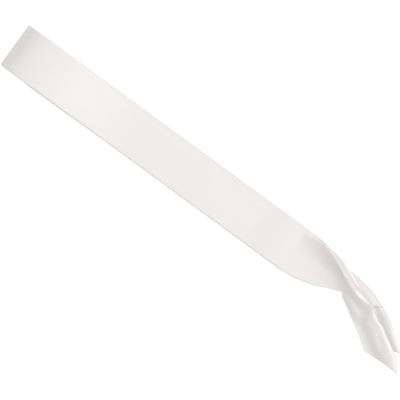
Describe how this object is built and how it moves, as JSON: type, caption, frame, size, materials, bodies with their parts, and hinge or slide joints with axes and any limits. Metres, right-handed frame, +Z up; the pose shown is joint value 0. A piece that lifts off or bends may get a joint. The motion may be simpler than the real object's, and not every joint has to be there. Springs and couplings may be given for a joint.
{
  "type": "satin sash",
  "caption": "White satin sash lying flat: one ribbon folded at the shoulder, gathered into pleats at the hip, with two doubled tails cut on a slant.",
  "frame": {"origin": "under the middle of the sash's bounding box, on the surface that it lies on", "axes": "+X along the sash from the shoulder fold to the tails, +Y across it away from the side that the tails turn to, +Z up from the surface"},
  "size_m": [0.9548, 0.1252, 0.0145],
  "materials": {
    "satin": "soft satin weave, plain white"
  },
  "bodies": {
    "root": {"shoulder_fold": "satin", "front_band": "satin", "front_gathers": "satin", "front_tail": "satin", "back_band": "satin", "back_gathers": "satin", "back_tail": "satin"}
  },
  "joints": []
}
